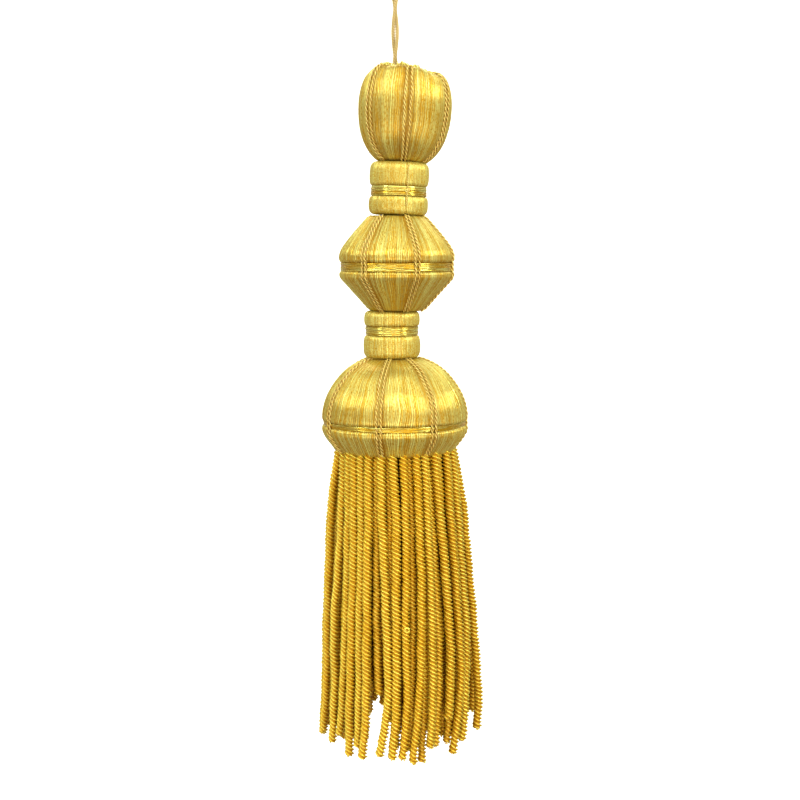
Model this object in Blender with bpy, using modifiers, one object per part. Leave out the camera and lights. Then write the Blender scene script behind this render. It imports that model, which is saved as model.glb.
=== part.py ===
"""Curtain tassel: thread-wound moulds strung on a cord, laid gimp cords and a skirt of bullion fringe.

Metres, +Z up, +X to the right and -Y to the front. The origin is the inner top of the hanging loop.
Tables of heights and radii are in millimetres, with heights measured from that origin.
"""

import math

import bmesh
import bpy
import numpy as np

MM = 0.001

# Turned moulds
TURN_STEPS = 28
WELD_M = 0.00001
SMOOTH_ANGLE = math.radians(50.0)

# Hanging cord
CORD_D = 1.8
LEG_SPACING = 2.1
LEG_X = 0.5
LEG_FOOT_Z = -57.5
SIDE_BY_SIDE_Z = -35.4
HALF_TURN_H = 19.2
LEG_TOP_Z = -16.2
LEG_POINTS = 12
CORD_STEP = 4.0
CURVE_STEPS = 24

# Laid gimp cords and the tie thread
GIMP_D = 1.35
GIMP_GAP = 0.35
GIMP_FOOT_SPACING = 1.75
GIMP_SIDES = 5
TIE_D = 0.9
TIE_AZIMUTH = 17.0

# Skirt
STRAND_D = 3.4
STRAND_CLEARANCE = 0.12
STRAIGHT_FROM_ROW = 2
TIP_STRETCH = 3.0
APART_ROUNDS = 600
STRAND_LEVELS = (-212.3, -240.0, -285.0, -315.0, -343.0)
ROW_COUNTS = (32, 27, 22, 17, 13, 9, 8, 5, 3)
ROW_SHARE = 0.104
ROW_TURN = 9.0
TOP_JITTER = 0.22
DRIFT_JITTER = 0.16
MEAN_TIP_Z = -333.5
TIP_SPREAD = (-6.0, 5.0)
TIP_RISE_PER_ROW = 1.2
SHIFT_SPREAD = (-0.3, 0.5)
SHIFT_AT_TOP = 0.3
OUTER_ROW_GIVE = 0.3
PUSH_GAIN = 1.6
PUSH_MARGIN = 1.01
LEAST_PUSH = 0.01
OWN_DISTANCE = 99.0

# Gap in the hem: x of its middle, half its width, depth through the skirt and the height at which the
# strands behind it stop
HEM_GAP_X = -6.7
HEM_GAP_HALF = 4.6
HEM_GAP_BACK_Y = 18.0
HEM_GAP_TOP_Z = -312.0
OUTER_SIDES = 5
INNER_SIDES = 4
SKIRT_SEED = 11

# Each mould: name, x of its foot, height of its foot, tilt to the right in degrees
MOULD_SEATS = {
    "ball": (3.4, -88.6, 3.3),
    "neck_upper": (1.7, -111.0, 2.0),
    "double_cone": (1.1, -151.6, 0.0),
    "neck_lower": (-0.9, -171.7, 0.0),
    "dome": (0.2, -211.5, 0.0),
    "skirt": (0.8, -215.1, 0.0),
}

# Outlines from the top down: (radius, height)
BALL_OUTLINE = (
    (0.0, -58.5), (7.6, -58.5), (8.2, -57.6), (8.2, -52.2), (9.0, -51.0), (11.5, -50.5), (14.6, -50.9),
    (16.6, -52.5), (18.3, -56.5), (19.3, -62.0), (19.5, -67.0), (19.1, -72.5), (17.9, -78.0),
    (16.0, -82.5), (13.6, -86.0), (11.3, -88.2), (10.4, -88.6), (0.0, -88.6),
)
NECK_UPPER_OUTLINE = (
    (0.0, -89.2), (10.3, -89.2), (11.5, -89.8), (12.3, -91.4), (12.5, -94.4), (12.4, -97.2), (11.9, -98.8),
    (10.9, -99.2), (10.9, -103.4), (11.9, -103.8), (12.4, -105.2), (12.5, -107.6), (12.2, -109.6),
    (11.4, -110.7), (10.4, -111.0), (0.0, -111.0),
)
DOUBLE_CONE_OUTLINE = (
    (0.0, -111.7), (11.2, -111.7), (12.4, -112.3), (14.6, -114.6), (19.1, -119.8), (21.9, -123.3),
    (23.6, -126.0), (24.4, -128.6), (24.2, -130.4), (23.4, -131.2), (22.8, -131.4), (22.8, -134.9),
    (23.6, -135.1), (24.3, -136.0), (23.9, -137.8), (22.0, -140.0), (16.8, -145.7), (13.0, -150.0),
    (11.6, -151.2), (10.6, -151.6), (0.0, -151.6),
)
NECK_LOWER_OUTLINE = (
    (0.0, -152.0), (10.0, -152.0), (11.1, -152.5), (11.7, -154.0), (11.8, -156.2), (11.4, -157.9),
    (10.4, -158.3), (10.4, -162.2), (11.4, -162.6), (11.9, -164.2), (12.1, -167.0), (11.9, -169.8),
    (11.2, -171.2), (10.2, -171.7), (0.0, -171.7),
)
DOME_OUTLINE = (
    (0.0, -172.1), (11.0, -172.1), (13.3, -172.8), (17.5, -174.8), (21.0, -177.3), (24.1, -180.5),
    (26.9, -184.3), (29.1, -188.4), (30.5, -192.6), (31.1, -196.6), (30.9, -198.2), (29.8, -198.5),
    (29.8, -200.8), (30.8, -201.1), (31.2, -202.3), (30.6, -204.2), (29.0, -206.8), (27.0, -209.3),
    (25.7, -211.2), (25.0, -211.5), (23.2, -211.5), (23.0, -206.9), (0.0, -206.9),
)

# Thread bands: (inner radius, outer radius, top, bottom), the mould that each is wound on
BANDS = {
    "neck_upper_band": ("neck_upper", 11.2, 12.1, -99.6, -103.0),
    "double_cone_band": ("double_cone", 23.1, 24.0, -131.8, -134.5),
    "neck_lower_band": ("neck_lower", 10.7, 11.6, -158.7, -161.8),
    "dome_band": ("dome", 30.1, 31.0, -198.9, -200.4),
}
BAND_CROWN = 0.25

# Lines that the gimp cords follow over a mould, from the top down: (radius, height)
GIMP_LINES = {
    "ball": (
        (9.4, -50.5), (14.6, -50.4), (17.4, -52.8), (19.1, -59.0), (19.6, -67.0), (18.7, -75.5),
        (16.5, -82.0), (13.3, -86.3),
    ),
    "double_cone": (
        (13.6, -113.2), (19.7, -119.7), (23.3, -124.2), (24.5, -128.6), (24.7, -132.3), (24.5, -136.2),
        (23.6, -138.8), (17.2, -145.7), (13.8, -149.2),
    ),
    "dome": (
        (13.9, -172.9), (18.6, -175.0), (21.9, -177.2), (24.9, -180.5), (28.4, -186.3), (30.6, -192.4),
        (31.4, -198.6), (31.4, -202.5), (29.7, -206.0), (27.4, -208.8),
    ),
    "neck_upper": ((12.3, -91.4), (12.5, -94.4), (12.5, -97.2), (12.4, -101.3), (12.4, -105.2)),
}

# Gimp pairs: node prefix, spacing of the two cords where they part most, azimuths from the front to +X
GIMP_PAIRS = {
    "ball": ("ball_gimp", 2.5, (-50.0, 3.4, 63.0, 118.0, 178.0, 242.0)),
    "double_cone": ("cone_gimp", 1.9, (-34.0, 21.0, 80.0, 145.0, 205.0, 254.0)),
    "dome": ("dome_gimp", 1.9, (-62.6, -12.0, 32.0, 88.0, 142.0, 194.0, 246.0)),
}

# Skirt axis and outer row: (height, x of the axis, radius to the strand centres)
SKIRT_SHAPE = (
    (-212.3, 0.8, 24.9), (-229.6, 1.0, 27.1), (-251.6, 1.1, 29.4), (-274.0, 1.6, 30.6), (-296.0, 2.4, 31.8),
    (-312.0, 2.8, 32.6), (-325.0, 2.2, 33.0), (-345.0, 1.6, 32.8),
)

# Strands that show in front: row, azimuth at the top, -240, -285, -315 and the tip, tip height, radial shift
FRONT_STRANDS = (
    (0, -80.0, -80.0, -75.0, -74.0, -80.0, -335.0, 0.6),
    (0, -63.5, -55.0, -61.0, -58.5, -57.2, -336.0, 0.3),
    (0, -53.2, -46.8, -46.8, -50.0, -53.0, -332.0, -0.9),
    (0, -45.0, -38.3, -38.7, -40.6, -37.6, -339.0, 0.0),
    (0, -36.5, -31.6, -32.6, -33.0, -32.6, -335.0, -1.2),
    (0, -27.5, -24.6, -25.4, -25.7, -28.0, -339.0, 0.0),
    (0, -14.3, -11.8, -8.6, -8.2, -14.9, -337.0, 0.0),
    (0, -3.2, 0.0, -2.1, -3.4, -4.7, -338.0, 0.0),
    (0, 7.6, 8.2, 5.6, 5.1, 3.1, -338.0, 0.0),
    (0, 19.8, 20.1, 17.9, 13.8, 11.1, -340.0, 0.0),
    (0, 28.7, 28.0, 26.9, 24.4, 24.4, -334.0, 0.0),
    (0, 40.5, 41.3, 43.6, 39.8, 38.3, -323.0, 0.0),
    (0, 59.0, 55.0, 55.6, 51.3, 44.0, -339.0, 0.0),
    (0, 76.0, 68.5, 67.0, 58.6, 55.4, -335.0, 0.0),
    (0, 92.0, 86.0, 83.0, 81.0, 80.0, -334.0, 2.2),
    (1, -72.0, -68.0, -67.0, -64.0, -62.0, -330.0, 0.0),
    (1, -57.0, -51.0, -54.0, -55.0, -52.0, -331.0, 0.0),
    (1, -31.0, -28.5, -29.0, -27.0, -24.4, -336.0, 0.0),
    (1, -20.5, -18.5, -18.5, -17.5, -19.0, -315.0, 0.0),
    (1, -8.0, -5.6, -5.2, -3.0, -1.2, -334.0, 0.0),
    (1, 14.0, 14.4, 12.0, 9.4, 8.5, -335.0, 0.0),
    (1, 24.5, 24.2, 22.2, 19.6, 20.5, -341.0, 0.0),
    (1, 35.0, 35.2, 36.0, 33.4, 31.6, -335.0, 0.0),
    (1, 49.5, 48.4, 50.0, 46.5, 46.0, -335.0, 0.0),
    (1, 67.0, 61.5, 61.0, 56.0, 50.0, -333.0, 0.0),
    (1, 84.0, 78.0, 77.0, 71.0, 68.0, -336.0, 0.0),
)
BACK_FROM = 101.0
BACK_TO = 270.0

# Heading of the fringe, tucked up inside the lip of the dome: (radius, height)
HEADING_OUTLINE = (
    (0.0, -207.3), (22.0, -207.3), (22.0, -211.9), (24.9, -212.1), (24.9, -214.6), (23.8, -215.1),
    (0.0, -215.1),
)

# Material slots: colour, roughness, metallic
FINISHES = {
    "wound_thread": ((0.74, 0.50, 0.09), 0.42, 0.0),
    "band_thread": ((0.80, 0.58, 0.10), 0.34, 0.1),
    "gimp_cord": ((0.82, 0.60, 0.20), 0.50, 0.0),
    "bullion_cord": ((0.72, 0.43, 0.03), 0.55, 0.0),
    "loop_cord": ((0.70, 0.48, 0.14), 0.60, 0.0),
}


def clear_scene():
    """Removes whatever the scene holds."""
    for thing in list(bpy.data.objects):
        bpy.data.objects.remove(thing, do_unlink=True)


def collection(name):
    """A new collection linked to the scene."""
    made = bpy.data.collections.new(name)
    bpy.context.scene.collection.children.link(made)
    return made


def finish(slot):
    """The material of a slot."""
    found = bpy.data.materials.get(slot)
    if found:
        return found
    colour, roughness, metallic = FINISHES[slot]
    made = bpy.data.materials.new(slot)
    made.use_nodes = True
    shader = made.node_tree.nodes["Principled BSDF"]
    shader.inputs["Base Color"].default_value = (*colour, 1.0)
    shader.inputs["Roughness"].default_value = roughness
    shader.inputs["Metallic"].default_value = metallic
    return made


def placed(name, data, slot, home, seat=None):
    """An object of the given mesh or curve, set on the foot point and tilt of its mould."""
    made = bpy.data.objects.new(name, data)
    home.objects.link(made)
    data.materials.append(finish(slot))
    if seat:
        foot_x, foot_z, tilt = MOULD_SEATS[seat]
        made.location = (foot_x * MM, 0.0, foot_z * MM)
        made.rotation_euler = (0.0, math.radians(tilt), 0.0)
    return made


def smooth(thing):
    """Shades smooth, with sharp edges where faces turn by more than the smooth angle."""
    mesh = thing.data
    mesh.shade_smooth()
    mesh.set_sharp_from_angle(angle=SMOOTH_ANGLE)


def turned(name, outline, slot, home, seat, closed=False):
    """A body of revolution about +Z whose outline is given as (radius, height) pairs."""
    foot_z = MOULD_SEATS[seat][1]
    points = [(radius * MM, 0.0, (height - foot_z) * MM) for radius, height in outline]
    edges = [(i, i + 1) for i in range(len(points) - 1)]
    if closed:
        edges.append((len(points) - 1, 0))
    mesh = bpy.data.meshes.new(name)
    mesh.from_pydata(points, edges, [])
    made = placed(name, mesh, slot, home, seat)
    screw = made.modifiers.new("turn", "SCREW")
    screw.steps = TURN_STEPS
    screw.render_steps = TURN_STEPS
    screw.use_merge_vertices = True
    screw.merge_threshold = WELD_M
    screw.use_normal_calculate = True
    screw.use_smooth_shade = True
    return made


def band(name, home):
    """A ring of wound thread, slightly crowned, that lies in the groove of its mould."""
    seat, inner, outer, top, bottom = BANDS[name]
    outline = (
        (inner, top),
        (outer - BAND_CROWN, top),
        (outer, (top + bottom) / 2),
        (outer - BAND_CROWN, bottom),
        (inner, bottom),
    )
    return turned(name, outline, "band_thread", home, seat, closed=True)


def tube_mesh(name, centres, normals, radius, sides):
    """A closed tube round a line of points, whose rings start from the given normals."""
    centres = np.asarray(centres, dtype=float)
    normals = np.asarray(normals, dtype=float)
    along = np.gradient(centres, axis=0)
    along /= np.linalg.norm(along, axis=1)[:, None]
    normals = normals - (normals * along).sum(axis=1)[:, None] * along
    normals /= np.linalg.norm(normals, axis=1)[:, None]
    across = np.cross(along, normals)
    turn = np.arange(sides) * 2 * math.pi / sides
    rings = (
        centres[:, None, :]
        + radius * np.cos(turn)[None, :, None] * normals[:, None, :]
        + radius * np.sin(turn)[None, :, None] * across[:, None, :]
    )
    faces = []
    for i in range(len(centres) - 1):
        for j in range(sides):
            k = (j + 1) % sides
            faces.append((i * sides + j, i * sides + k, (i + 1) * sides + k, (i + 1) * sides + j))
    last = (len(centres) - 1) * sides
    faces.append(tuple(reversed(range(sides))))
    faces.append(tuple(last + j for j in range(sides)))
    mesh = bpy.data.meshes.new(name)
    mesh.from_pydata((rings.reshape(-1, 3) * MM).tolist(), [], faces)
    return mesh


def surface_line(outline):
    """Points of an outline, the outward unit normals there, and how far along it each lies, from 0 to 1."""
    points = np.asarray(outline, dtype=float)
    reach = np.concatenate([[0.0], np.cumsum(np.linalg.norm(np.diff(points, axis=0), axis=1))])
    slope = np.gradient(points, axis=0)
    slope /= np.linalg.norm(slope, axis=1)[:, None]
    normals = np.stack([-slope[:, 1], slope[:, 0]], axis=1)
    return points, normals, reach / reach[-1]


def laid_leg(seat, azimuth, offsets, diameter):
    """One cord lying on a mould at an azimuth, set sideways by an offset at each point."""
    foot_z = MOULD_SEATS[seat][1]
    points, normals, share = surface_line(GIMP_LINES[seat])
    radius = points[:, 0] + normals[:, 0] * (diameter / 2 + GIMP_GAP)
    height = points[:, 1] + normals[:, 1] * (diameter / 2 + GIMP_GAP) - foot_z
    angle = math.radians(azimuth) + np.interp(share, *offsets) / radius
    centres = np.stack([radius * np.sin(angle), -radius * np.cos(angle), height], axis=1)
    outward = np.stack([normals[:, 0] * np.sin(angle), -normals[:, 0] * np.cos(angle), normals[:, 1]], axis=1)
    return centres, outward


def gimp_pair(name, seat, azimuth, spacing, home):
    """Two cords side by side down a mould, joined by a bend at the foot like a hairpin."""
    half = np.array([GIMP_FOOT_SPACING, spacing, spacing, GIMP_FOOT_SPACING]) / 2
    shares = (0.0, 0.35, 0.65, 1.0)
    down, down_out = laid_leg(seat, azimuth, (shares, half), GIMP_D)
    back, back_out = laid_leg(seat, azimuth, (shares, -half), GIMP_D)
    middle = (down[-1] + back[-1]) / 2
    side = (down[-1] - back[-1]) / 2
    reach = down[-1] - down[-2]
    reach = reach / np.linalg.norm(reach) * np.linalg.norm(side)
    bend = [middle + side * math.cos(a) + reach * math.sin(a) for a in np.radians((45.0, 90.0, 135.0))]
    centres = np.concatenate([down, bend, back[::-1]])
    outward = np.concatenate([down_out, [down_out[-1]] * len(bend), back_out[::-1]])
    mesh = tube_mesh(name, centres, outward, GIMP_D / 2, GIMP_SIDES)
    made = placed(name, mesh, "gimp_cord", home, seat)
    smooth(made)
    return made


def tie_thread(home):
    """A thin thread down the front of the upper neck, over its band."""
    centres, outward = laid_leg("neck_upper", TIE_AZIMUTH, ((0.0, 1.0), (0.0, 0.0)), TIE_D)
    mesh = tube_mesh("neck_upper_tie", centres, outward, TIE_D / 2, GIMP_SIDES)
    made = placed("neck_upper_tie", mesh, "gimp_cord", home, "neck_upper")
    smooth(made)
    return made


def smooth_curve(route, step):
    """Points about a step apart on a smooth curve through the route points."""
    route = np.asarray(route, dtype=float)
    padded = np.vstack([2 * route[0] - route[1], route, 2 * route[-1] - route[-2]])
    dense = []
    for i in range(len(route) - 1):
        a, b, c, d = padded[i : i + 4]
        t = np.linspace(0.0, 1.0, CURVE_STEPS, endpoint=False)[:, None]
        bend = (2 * a - 5 * b + 4 * c - d) * t**2
        twist = (3 * b - a - 3 * c + d) * t**3
        dense.append(0.5 * (2 * b + (c - a) * t + bend + twist))
    dense = np.vstack([*dense, route[-1:]])
    reach = np.concatenate([[0.0], np.cumsum(np.linalg.norm(np.diff(dense, axis=0), axis=1))])
    along = np.linspace(0.0, reach[-1], max(2, round(reach[-1] / step)) + 1)
    return np.stack([np.interp(along, reach, dense[:, k]) for k in range(3)], axis=1)


def loop_route():
    """Route of the folded cord: up one twisted leg, round the eye and down the other leg."""
    heights = np.linspace(LEG_FOOT_Z, LEG_TOP_Z, LEG_POINTS)
    turn = (heights - SIDE_BY_SIDE_Z) / HALF_TURN_H * math.pi + math.pi
    swing = LEG_SPACING / 2 * np.stack([np.cos(turn), np.sin(turn)], axis=1)
    left = [(LEG_X + x, y, z) for (x, y), z in zip(swing, heights)]
    right = [(LEG_X - x, -y, z) for (x, y), z in zip(swing, heights)]
    if left[-1][0] > right[-1][0]:
        left, right = right, left
    eye = (
        (-2.6, 0.0, -12.8), (-5.0, 0.0, -8.6), (-5.6, 0.0, -4.6), (-4.0, 0.0, -0.9), (0.0, 0.0, CORD_D / 2),
        (4.0, 0.0, -0.9), (5.6, 0.0, -4.6), (5.2, 0.0, -8.6), (3.2, 0.0, -12.8),
    )
    return [*left, *eye, *reversed(right)]


def hanging_cord(home):
    """The cord that the tassel hangs by, folded in two with an eye at its top."""
    points = smooth_curve(loop_route(), CORD_STEP)
    curve = bpy.data.curves.new("hanging_cord", "CURVE")
    curve.dimensions = "3D"
    curve.bevel_depth = CORD_D / 2 * MM
    curve.bevel_resolution = 2
    curve.use_fill_caps = True
    line = curve.splines.new("POLY")
    line.points.add(len(points) - 1)
    for spot, point in zip(line.points, points):
        spot.co = (*(point * MM), 1.0)
    return placed("hanging_cord", curve, "loop_cord", home)


def skirt_axis(height):
    """The x of the skirt's axis and the radius of its outer row at a height."""
    heights, axis, radius = np.array(SKIRT_SHAPE).T
    return np.interp(-height, -heights, axis), np.interp(-height, -heights, radius)


def strand_table():
    """Azimuths at each level, tip heights, rows and radial shifts of every strand."""
    chance = np.random.default_rng(SKIRT_SEED)
    rows = list(FRONT_STRANDS)
    for row, count in enumerate(ROW_COUNTS):
        fixed = sum(1 for strand in rows if strand[0] == row)
        if fixed:
            starts = np.linspace(BACK_FROM, BACK_TO, count - fixed)
        else:
            starts = np.arange(count) * 360.0 / count + ROW_TURN * row
        pitch = abs(starts[1] - starts[0])
        for start in starts:
            top = start + chance.uniform(-TOP_JITTER, TOP_JITTER) * pitch
            drift = np.cumsum(chance.uniform(-DRIFT_JITTER, DRIFT_JITTER, 4)) * pitch
            tip = MEAN_TIP_Z + chance.uniform(*TIP_SPREAD) + TIP_RISE_PER_ROW * row
            rows.append((row, top, *(top + drift), tip, chance.uniform(*SHIFT_SPREAD)))
    return np.array(rows)


def strand_lines():
    """Centre lines of every strand at the levels, moved apart until none touches another."""
    table = strand_table()
    row, azimuth, tip, shift = table[:, 0], np.radians(table[:, 1:6]), table[:, 6], table[:, 7]
    levels = np.array(STRAND_LEVELS)
    axis, radius = skirt_axis(levels)
    grow = np.linspace(SHIFT_AT_TOP, 1.0, len(levels))
    reach = radius[None, :] * (1.0 - ROW_SHARE * row[:, None]) + shift[:, None] * grow[None, :]
    flat = np.stack([axis[None, :] + reach * np.sin(azimuth), -reach * np.cos(azimuth)], axis=2)
    fine = np.linspace(0.0, len(levels) - 1.0, 4 * (len(levels) - 1) + 1)
    share = np.maximum(0.0, 1.0 - np.abs(fine[:, None] - np.arange(len(levels))[None, :]))
    give = np.where(row == 0, OUTER_ROW_GIVE, 1.0)
    inner = row >= STRAIGHT_FROM_ROW
    straight = (
        (levels[1] - levels[0]) / (levels[2] - levels[0]),
        (levels[3] - levels[2]) / (levels[4] - levels[2]),
    )
    wanted = STRAND_D + STRAND_CLEARANCE
    for _ in range(APART_ROUNDS):
        spots = np.einsum("fl,nlc->nfc", share, flat)
        apart = spots[:, None] - spots[None]
        distance = np.linalg.norm(apart, axis=3) + np.eye(len(row))[:, :, None] * OWN_DISTANCE
        lack = np.clip(wanted * PUSH_MARGIN - distance, 0.0, None)
        if lack.max() < LEAST_PUSH * wanted:
            break
        weight = give[:, None] / (give[:, None] + give[None])
        push = (apart / distance[..., None] * (lack * weight[:, :, None])[..., None]).sum(axis=1)
        flat = flat + PUSH_GAIN * np.einsum("fl,nfc->nlc", share, push) / share.sum(axis=0)[None, :, None]
        from_axis = flat[:, 0] - [axis[0], 0.0]
        out = np.linalg.norm(from_axis, axis=1)[:, None]
        flat[:, 0] = [axis[0], 0.0] + from_axis / out * np.minimum(out, radius[0])
        flat[inner, 1] = flat[inner, 0] + (flat[inner, 2] - flat[inner, 0]) * straight[0]
        flat[inner, 3] = flat[inner, 2] + (flat[inner, 4] - flat[inner, 2]) * straight[1]
    in_gap = (row > 0) & (flat[:, 4, 1] < HEM_GAP_BACK_Y) & (np.abs(flat[:, 4, 0] - HEM_GAP_X) < HEM_GAP_HALF)
    tip = np.where(in_gap, np.maximum(tip, HEM_GAP_TOP_Z), tip)
    return row, flat, levels, tip


def strand_points(flat, levels, tip, straight):
    """A strand's line from the heading to its tip, as points in millimetres."""
    kept = levels > tip + TIP_STRETCH
    if straight:
        kept[[1, 3]] = False
    at_tip = [np.interp(-tip, -levels, flat[:, k]) for k in range(2)]
    spots = np.vstack([flat[kept], at_tip])
    return np.column_stack([spots, np.append(levels[kept], tip)])


def skirt(home, cutters):
    """The rolled fringe: a heading disc with its strands hanging from it as one comb."""
    heading = turned("skirt", HEADING_OUTLINE, "bullion_cord", home, "skirt")
    comb = bmesh.new()
    row, flat, levels, tip = strand_lines()
    for i in range(len(row)):
        points = strand_points(flat[i], levels, tip[i], row[i] >= STRAIGHT_FROM_ROW)
        sides = OUTER_SIDES if row[i] == 0 else INNER_SIDES
        outward = np.column_stack([points[:, 0] - SKIRT_SHAPE[0][1], points[:, 1], np.zeros(len(points))])
        one = tube_mesh("strand", points, outward, STRAND_D / 2, sides)
        comb.from_mesh(one)
        bpy.data.meshes.remove(one)
    mesh = bpy.data.meshes.new("skirt_strands")
    comb.to_mesh(mesh)
    comb.free()
    strands = bpy.data.objects.new("skirt_strands", mesh)
    cutters.objects.link(strands)
    strands.hide_render = True
    strands.display_type = "WIRE"
    join = heading.modifiers.new("strands", "BOOLEAN")
    join.operation = "UNION"
    join.solver = "EXACT"
    join.object = strands
    return heading


def main():
    clear_scene()
    home = collection("curtain_tassel")
    cutters = collection("tassel_cutters")
    hanging_cord(home)
    turned("ball", BALL_OUTLINE, "wound_thread", home, "ball")
    turned("neck_upper", NECK_UPPER_OUTLINE, "wound_thread", home, "neck_upper")
    turned("double_cone", DOUBLE_CONE_OUTLINE, "wound_thread", home, "double_cone")
    turned("neck_lower", NECK_LOWER_OUTLINE, "wound_thread", home, "neck_lower")
    turned("dome", DOME_OUTLINE, "wound_thread", home, "dome")
    for name in BANDS:
        band(name, home)
    tie_thread(home)
    for seat, (prefix, spacing, azimuths) in GIMP_PAIRS.items():
        for number, azimuth in enumerate(azimuths, 1):
            gimp_pair(f"{prefix}_{number}", seat, azimuth, spacing, home)
    skirt(home, cutters)


main()
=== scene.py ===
import math

import bpy
import numpy as np
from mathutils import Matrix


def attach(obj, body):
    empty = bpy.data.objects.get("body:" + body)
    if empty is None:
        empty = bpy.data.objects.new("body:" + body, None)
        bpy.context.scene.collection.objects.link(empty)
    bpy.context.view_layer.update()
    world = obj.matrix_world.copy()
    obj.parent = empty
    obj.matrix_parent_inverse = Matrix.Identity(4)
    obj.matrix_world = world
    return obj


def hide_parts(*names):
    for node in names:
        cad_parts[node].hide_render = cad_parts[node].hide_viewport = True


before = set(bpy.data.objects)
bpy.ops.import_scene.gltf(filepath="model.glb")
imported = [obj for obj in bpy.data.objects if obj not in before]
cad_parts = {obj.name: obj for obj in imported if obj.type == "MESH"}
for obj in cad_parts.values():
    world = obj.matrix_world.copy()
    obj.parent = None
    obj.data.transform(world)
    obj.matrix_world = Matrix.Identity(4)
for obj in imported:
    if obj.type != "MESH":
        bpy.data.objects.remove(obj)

bl_info = {
    "name": "Curtain tassel",
    "version": (1, 0, 0),
    "blender": (4, 5, 0),
    "location": "3D View > Sidebar > Tassel",
    "description": "Thread-wound moulds, laid gimp cords and a bullion skirt round the tassel's solids",
    "category": "Add Mesh",
}

# Lengths in the tables are in millimetres; heights count from the inner top of the hanging loop.
MM = 0.001
FULL_TURN = 2.0 * math.pi

# The seats, outlines and routes are those of the solids.
SEATS = {
    "ball": (3.4, -88.6, 3.3),
    "neck_upper": (1.7, -111.0, 2.0),
    "double_cone": (1.1, -151.6, 0.0),
    "neck_lower": (-0.9, -171.7, 0.0),
    "dome": (0.2, -211.5, 0.0),
}
OUTLINES = {
    "ball": (
        (6.6, -58.5), (7.6, -58.3), (8.1, -57.0), (8.2, -52.6), (9.0, -51.0), (11.5, -50.5), (14.6, -50.9),
        (16.6, -52.5), (18.3, -56.5), (19.3, -62.0), (19.5, -67.0), (19.1, -72.5), (17.9, -78.0),
        (16.0, -82.5), (13.6, -86.0), (11.3, -88.2), (10.2, -88.8), (8.8, -89.0),
    ),
    "neck_upper": (
        (8.6, -89.2), (10.3, -89.2), (11.5, -89.8), (12.3, -91.4), (12.5, -94.4), (12.4, -97.2),
        (11.9, -98.8), (10.9, -99.3), (10.8, -101.3), (10.9, -103.3), (11.9, -103.8), (12.4, -105.2),
        (12.5, -107.6), (12.2, -109.6), (11.4, -110.7), (10.4, -111.1), (8.8, -111.2),
    ),
    "double_cone": (
        (9.4, -111.5), (11.2, -111.7), (12.4, -112.3), (14.6, -114.6), (19.1, -119.8), (21.9, -123.3),
        (23.6, -126.0), (24.4, -128.6), (24.2, -130.4), (23.4, -131.2), (22.7, -131.8), (22.7, -134.5),
        (23.6, -135.1), (24.3, -136.0), (23.9, -137.8), (22.0, -140.0), (16.8, -145.7), (13.0, -150.0),
        (11.6, -151.2), (10.6, -151.7), (8.8, -151.9),
    ),
    "neck_lower": (
        (8.4, -151.9), (10.0, -152.0), (11.1, -152.5), (11.7, -154.0), (11.8, -156.2), (11.4, -157.9),
        (10.4, -158.4), (10.3, -160.2), (10.4, -162.1), (11.4, -162.6), (11.9, -164.2), (12.1, -167.0),
        (11.9, -169.8), (11.2, -171.2), (10.2, -171.8), (8.6, -172.0),
    ),
    "dome": (
        (9.0, -172.0), (11.0, -172.1), (13.3, -172.8), (17.5, -174.8), (21.0, -177.3), (24.1, -180.5),
        (26.9, -184.3), (29.1, -188.4), (30.5, -192.6), (31.1, -196.6), (30.9, -198.2), (29.9, -198.8),
        (29.9, -200.5), (30.8, -201.1), (31.2, -202.3), (30.6, -204.2), (29.0, -206.8), (27.0, -209.3),
        (25.7, -211.2), (24.8, -211.7), (23.4, -211.3), (23.0, -209.0),
    ),
}
# Where the gimp cords start and end on each outline, as shares of its length
GIMP_REACH = {"ball": (0.08, 0.985), "double_cone": (0.03, 0.97), "dome": (0.02, 0.965)}
# Gimp pairs: node prefix, spacing of the two cords where they part most, azimuths from the front to +X
GIMP_PAIRS = {
    "ball": ("ball_gimp", 2.5, (-50.0, 3.4, 63.0, 118.0, 178.0, 242.0)),
    "double_cone": ("cone_gimp", 1.6, (-34.0, 21.0, 80.0, 145.0, 205.0, 254.0)),
    "dome": ("dome_gimp", 1.9, (-62.6, -12.0, 32.0, 88.0, 142.0, 194.0, 246.0)),
}
# Bands: mould, outer radius, top, bottom, turns of thread
BANDS = {
    "neck_upper_band": ("neck_upper", 12.05, -99.3, -103.3, 6),
    "double_cone_band": ("double_cone", 24.05, -131.4, -134.9, 5),
    "neck_lower_band": ("neck_lower", 11.55, -158.4, -162.1, 5),
    "dome_band": ("dome", 31.0, -198.6, -200.7, 4),
}
# Winding of each mould: threads round it, rows down it, thread relief, puff between the gimps
WINDING = {
    "ball": (190, 44, 0.16, 0.35),
    "neck_upper": (130, 36, 0.15, 0.0),
    "double_cone": (220, 46, 0.17, 0.20),
    "neck_lower": (126, 36, 0.15, 0.0),
    "dome": (270, 50, 0.18, 0.25),
}

# Bumps and dips along the rim: azimuth and half width in degrees, height, small loops of thread on it
RIM_BUMPS = (
    (-88.0, 30.0, -1.5, 0), (-50.0, 17.0, 0.8, 34), (-8.0, 10.0, 0.9, 40), (16.0, 9.0, 0.5, 26),
    (45.0, 16.0, -0.8, 8), (150.0, 20.0, 0.7, 20), (215.0, 16.0, 0.8, 20),
)
# The height from which the ball's cover follows its rim, and how far up it follows it in full
RIM_START_Z = -66.0
RIM_SPAN = 14.0
# Radius and height of the rim's highest line, and the stray loops of thread all round it
RIM_CROWN = (11.5, -50.9)
STRAY_LOOPS = 90

# Hanging cord: its two legs twist round each other about an upright line, then part into the eye
LEG_SPACING = 1.7
LEG_X = 0.5
LEG_FOOT_Z = -57.5
SIDE_BY_SIDE_Z = -35.4
HALF_TURN_H = 19.2
LEG_TOP_Z = -16.2
LEG_POINTS = 12

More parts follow.
